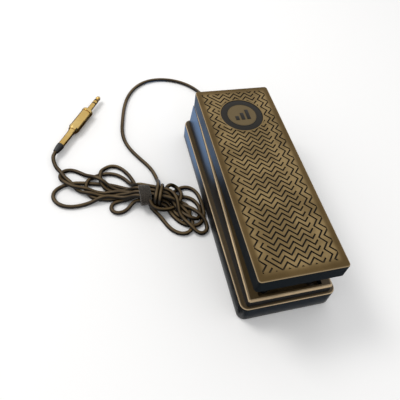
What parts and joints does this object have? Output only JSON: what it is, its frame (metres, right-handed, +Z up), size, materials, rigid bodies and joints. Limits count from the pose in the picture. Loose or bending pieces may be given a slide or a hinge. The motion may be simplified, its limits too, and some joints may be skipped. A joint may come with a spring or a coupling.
{
  "type": "volume pedal",
  "caption": "Black plastic rocker volume pedal with a chevron-grooved treadle on a two-tier base and an attached strapped lead ending in a gold jack plug.",
  "frame": {"origin": "middle of the base's footprint, on the floor under its rubber feet", "axes": "+Z up, +Y from the heel end to the toe end where the lead leaves, +X to the player's right"},
  "size_m": [0.2695, 0.3723, 0.0848],
  "materials": {
    "base_plastic": "black moulded plastic, satin",
    "knob_plastic": "black moulded plastic",
    "tread_plastic": "black grooved plastic, satin",
    "badge_plastic": "black, smooth",
    "zinc_sheet": "zinc plated sheet",
    "bright_steel": "bright steel",
    "white_nylon": "natural nylon",
    "black_rubber": "black rubber",
    "boot_rubber": "black rubber",
    "green_board": "green circuit board",
    "cord_rubber": "black flexible sheath",
    "strap_fabric": "black hook-and-loop tape",
    "gold_metal": "gold plated",
    "insulator_black": "black insulator"
  },
  "bodies": {
    "base": {"base_shell": "base_plastic", "bottom_plate": "zinc_sheet", "pot_bracket": "zinc_sheet", "pot_body": "zinc_sheet", "range_pot_body": "zinc_sheet", "polarity_switch_body": "zinc_sheet", "plate_screw_1": "bright_steel", "plate_screw_2": "bright_steel", "plate_screw_3": "bright_steel", "plate_screw_4": "bright_steel", "plate_screw_5": "bright_steel", "plate_screw_6": "bright_steel", "bracket_screw_1": "bright_steel", "bracket_screw_2": "bright_steel", "pot_nut": "bright_steel", "bushing_left": "white_nylon", "bushing_right": "white_nylon", "foot_1": "black_rubber", "foot_2": "black_rubber", "foot_3": "black_rubber", "foot_4": "black_rubber", "toe_bumper_left": "black_rubber", "toe_bumper_right": "black_rubber", "heel_bumper_left": "black_rubber", "heel_bumper_right": "black_rubber", "friction_washer_left": "black_rubber", "friction_washer_right": "black_rubber", "circuit_board": "green_board", "lead_cord": "cord_rubber", "tail_cord": "cord_rubber", "lead_hank": "cord_rubber", "lead_winding": "cord_rubber", "inner_lead": "cord_rubber", "pot_wires": "cord_rubber", "strain_relief": "cord_rubber", "plug_boot": "boot_rubber", "strap_band": "strap_fabric", "plug_tail": "gold_metal", "plug_rim": "gold_metal", "plug_barrel": "gold_metal", "plug_collar": "gold_metal", "plug_sleeve": "gold_metal", "plug_ring": "gold_metal", "plug_tip": "gold_metal", "plug_insulator_1": "insulator_black", "plug_insulator_2": "insulator_black"},
    "treadle": {"treadle": "tread_plastic", "badge_disc": "badge_plastic", "pivot_shaft": "bright_steel", "retaining_clip_left": "bright_steel", "retaining_clip_right": "bright_steel", "sector_gear": "white_nylon", "sector_screw_1": "bright_steel", "sector_screw_2": "bright_steel"},
    "pot_spindle": {"pinion": "white_nylon", "pot_shaft": "bright_steel"},
    "range_control": {"range_knob": "knob_plastic", "range_shaft": "bright_steel"},
    "polarity_slider": {"polarity_slider": "insulator_black"}
  },
  "joints": [
    {"name": "treadle_hinge", "type": "hinge", "parent": "base", "child": "treadle", "pos_m": [0, -0.025, 0.038], "axis": [1, 0, 0], "range_deg": [0, 14]},
    {"name": "pot_turn", "type": "hinge", "parent": "base", "child": "pot_spindle", "pos_m": [0, 0.04292, 0.05493], "axis": [1, 0, 0], "range_deg": [-84, 0]},
    {"name": "range_turn", "type": "hinge", "parent": "base", "child": "range_control", "pos_m": [0.04, 0.062, 0.013], "axis": [1, 0, 0], "range_deg": [-150, 150]},
    {"name": "polarity_slide", "type": "slide", "parent": "base", "child": "polarity_slider", "axis": [0, 1, 0], "range_m": [0, 0.003]}
  ],
  "couplings": [
    {"joint": "pot_turn", "follows": "treadle_hinge", "ratio": -6}
  ]
}
